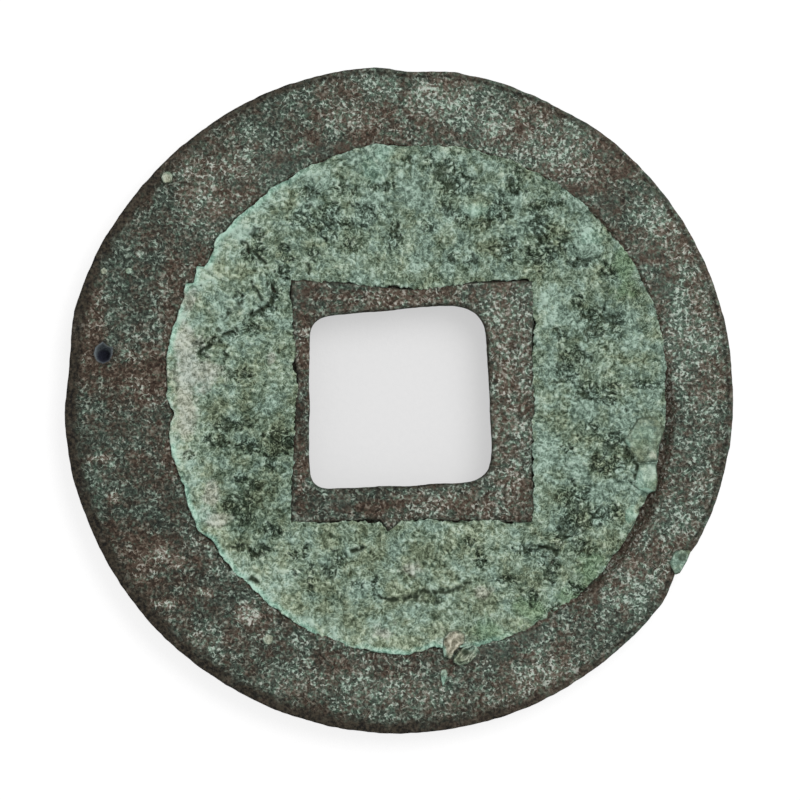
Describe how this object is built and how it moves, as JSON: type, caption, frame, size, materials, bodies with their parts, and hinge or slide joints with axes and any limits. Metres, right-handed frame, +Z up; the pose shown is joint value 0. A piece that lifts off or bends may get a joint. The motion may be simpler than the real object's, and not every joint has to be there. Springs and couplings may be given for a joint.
{
  "type": "cash coin",
  "caption": "Round cast bronze coin with a square hole, broad raised rims and sunk fields filled with lumpy green corrosion crusts.",
  "frame": {"origin": "middle of the coin's disc, on the surface that its obverse rim lies on", "axes": "+Z up, out of the plain reverse; +X east and +Y north, right and up as the reverse is seen from above"},
  "size_m": [0.0244, 0.0244, 0.0016],
  "materials": {
    "patinated_bronze": "dull brown bronze patina, finely speckled with pale green corrosion",
    "verdigris_crust": "rough, crumbly, matt grey-green corrosion crust",
    "verdigris_nodule": "matt pale green corrosion nodule"
  },
  "bodies": {
    "root": {"casting": "patinated_bronze", "reverse_field_crust": "verdigris_crust", "obverse_field_crust": "verdigris_crust", "east_flake": "verdigris_nodule", "east_flake_foot": "verdigris_nodule", "east_flake_tail": "verdigris_nodule", "south_nodule_pale": "verdigris_nodule", "south_nodule_shell": "verdigris_nodule", "south_droplet": "verdigris_nodule", "edge_crust": "verdigris_nodule", "northwest_wart": "verdigris_nodule", "west_wart_outer": "verdigris_nodule", "west_wart_inner": "verdigris_nodule", "southwest_wart": "verdigris_nodule"}
  },
  "joints": []
}
